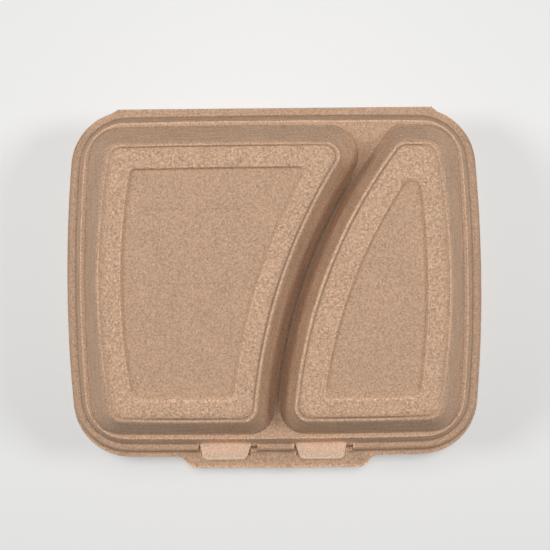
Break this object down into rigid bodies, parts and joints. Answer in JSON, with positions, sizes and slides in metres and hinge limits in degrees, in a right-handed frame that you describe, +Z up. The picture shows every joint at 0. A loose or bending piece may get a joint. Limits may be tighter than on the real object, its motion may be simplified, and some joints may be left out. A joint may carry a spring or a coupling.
{
  "type": "disposable lunch box",
  "caption": "Hinged disposable lunch box of foamed kraft-coloured sheet, with a large and a small curved compartment, a finger lip and latch tongues.",
  "frame": {"origin": "middle of the closed box's footprint, on the surface that it stands on", "axes": "+X along the width, small compartment on +X; +Y towards the hinge; +Z up, base below and lid on top"},
  "size_m": [0.24, 0.2088, 0.07],
  "materials": {
    "foam_base": "matt foamed sheet with fine grain",
    "foam_lid": "matt foamed sheet with fine grain"
  },
  "bodies": {
    "base": {"base": "foam_base"},
    "lid": {"lid": "foam_lid"}
  },
  "joints": [
    {"name": "lid_hinge", "type": "hinge", "parent": "base", "child": "lid", "pos_m": [0, 0.10458, 0.036], "axis": [-1, 0, 0], "range_deg": [0, 180]}
  ]
}
